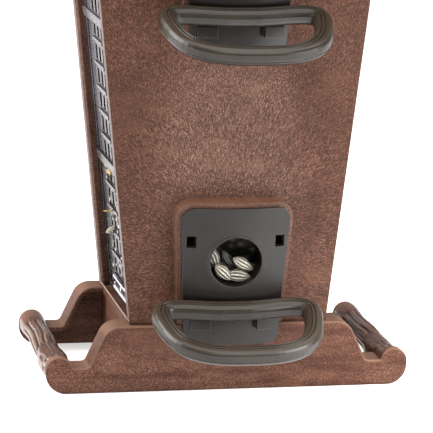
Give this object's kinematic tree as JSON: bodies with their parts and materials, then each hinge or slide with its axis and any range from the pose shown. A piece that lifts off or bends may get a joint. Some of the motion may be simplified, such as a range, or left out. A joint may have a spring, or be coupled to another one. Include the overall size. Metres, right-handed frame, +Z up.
{
  "type": "hopper bird feeder",
  "caption": "Tapered hopper bird feeder with slotted clear side windows, hooded feeding ports, ring perches, a sled-shaped tray and a gabled roof that lifts on a wire bail.",
  "frame": {"origin": "on the surface that the feeder stands on, under the middle of the hopper", "axes": "+X along the tray from the left end rail to the right one, -Y out of the front face, +Z up"},
  "size_m": [0.199, 0.2244, 0.4471],
  "materials": {
    "brown_composite": "speckled wood-filled plastic, fine swirling flow grain, soft sheen",
    "brown_rail": "glossy dark brown moulding, carved like bark",
    "clear_window": "clear moulded plastic, slotted and ribbed",
    "dark_port": "satin charcoal moulding",
    "dark_ring": "satin olive-charcoal moulding with fine parting lines",
    "steel": "plain drawn wire and plated screws"
  },
  "bodies": {
    "feeder": {"tray_front_plate": "brown_composite", "tray_back_plate": "brown_composite", "left_end_wall": "brown_composite", "right_end_wall": "brown_composite", "seed_floor": "brown_composite", "front_panel": "brown_composite", "back_panel": "brown_composite", "left_top_rail": "brown_composite", "right_top_rail": "brown_composite", "left_perch_rail": "brown_rail", "right_perch_rail": "brown_rail", "left_window": "clear_window", "right_window": "clear_window", "front_lower_port": "dark_port", "front_upper_port": "dark_port", "back_lower_port": "dark_port", "back_upper_port": "dark_port", "front_lower_perch": "dark_ring", "front_upper_perch": "dark_ring", "back_lower_perch": "dark_ring", "back_upper_perch": "dark_ring", "tray_screws": "steel", "panel_screws": "steel", "bail": "steel", "bail_nuts": "steel"},
    "roof": {"roof": "brown_composite", "roof_bushings": "dark_port"}
  },
  "joints": [
    {"name": "roof_lift", "type": "slide", "parent": "feeder", "child": "roof", "axis": [0, 0, 1], "range_m": [0, 0.075]}
  ]
}
